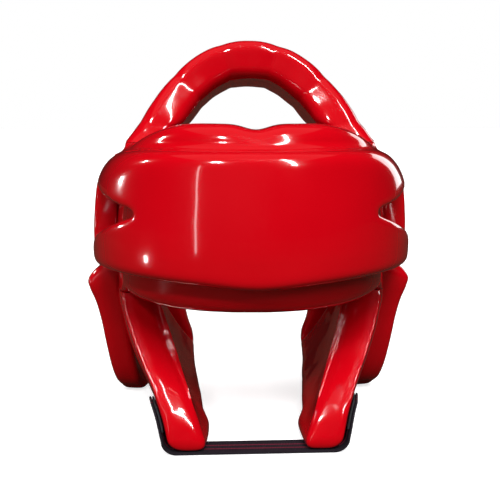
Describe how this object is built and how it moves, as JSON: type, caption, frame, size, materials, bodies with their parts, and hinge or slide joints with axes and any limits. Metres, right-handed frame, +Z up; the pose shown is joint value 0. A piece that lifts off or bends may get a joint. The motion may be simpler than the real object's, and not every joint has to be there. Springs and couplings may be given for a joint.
{
  "type": "foam sparring headgear",
  "caption": "Dipped foam head guard with a forehead pad, crown arch, cheek and ear guards, side windows and an elastic chin strap.",
  "frame": {"origin": "middle of the whole piece's outline seen from above, on the surface that it stands on", "axes": "+Z up to the crown arch, front towards -Y, left-right symmetry across the plane X = 0"},
  "size_m": [0.2704, 0.2588, 0.3019],
  "materials": {
    "vinyl_foam": "glossy dipped vinyl skin over foam",
    "webbing": "woven elastic and hook patch"
  },
  "bodies": {
    "root": {"head_band": "vinyl_foam", "forehead_pad": "vinyl_foam", "crown_arch": "vinyl_foam", "cheek_guard_left": "vinyl_foam", "cheek_guard_right": "vinyl_foam", "ear_guard_left": "vinyl_foam", "ear_guard_right": "vinyl_foam", "chin_strap": "webbing", "strap_patch_left": "webbing", "strap_patch_right": "webbing"}
  },
  "joints": []
}
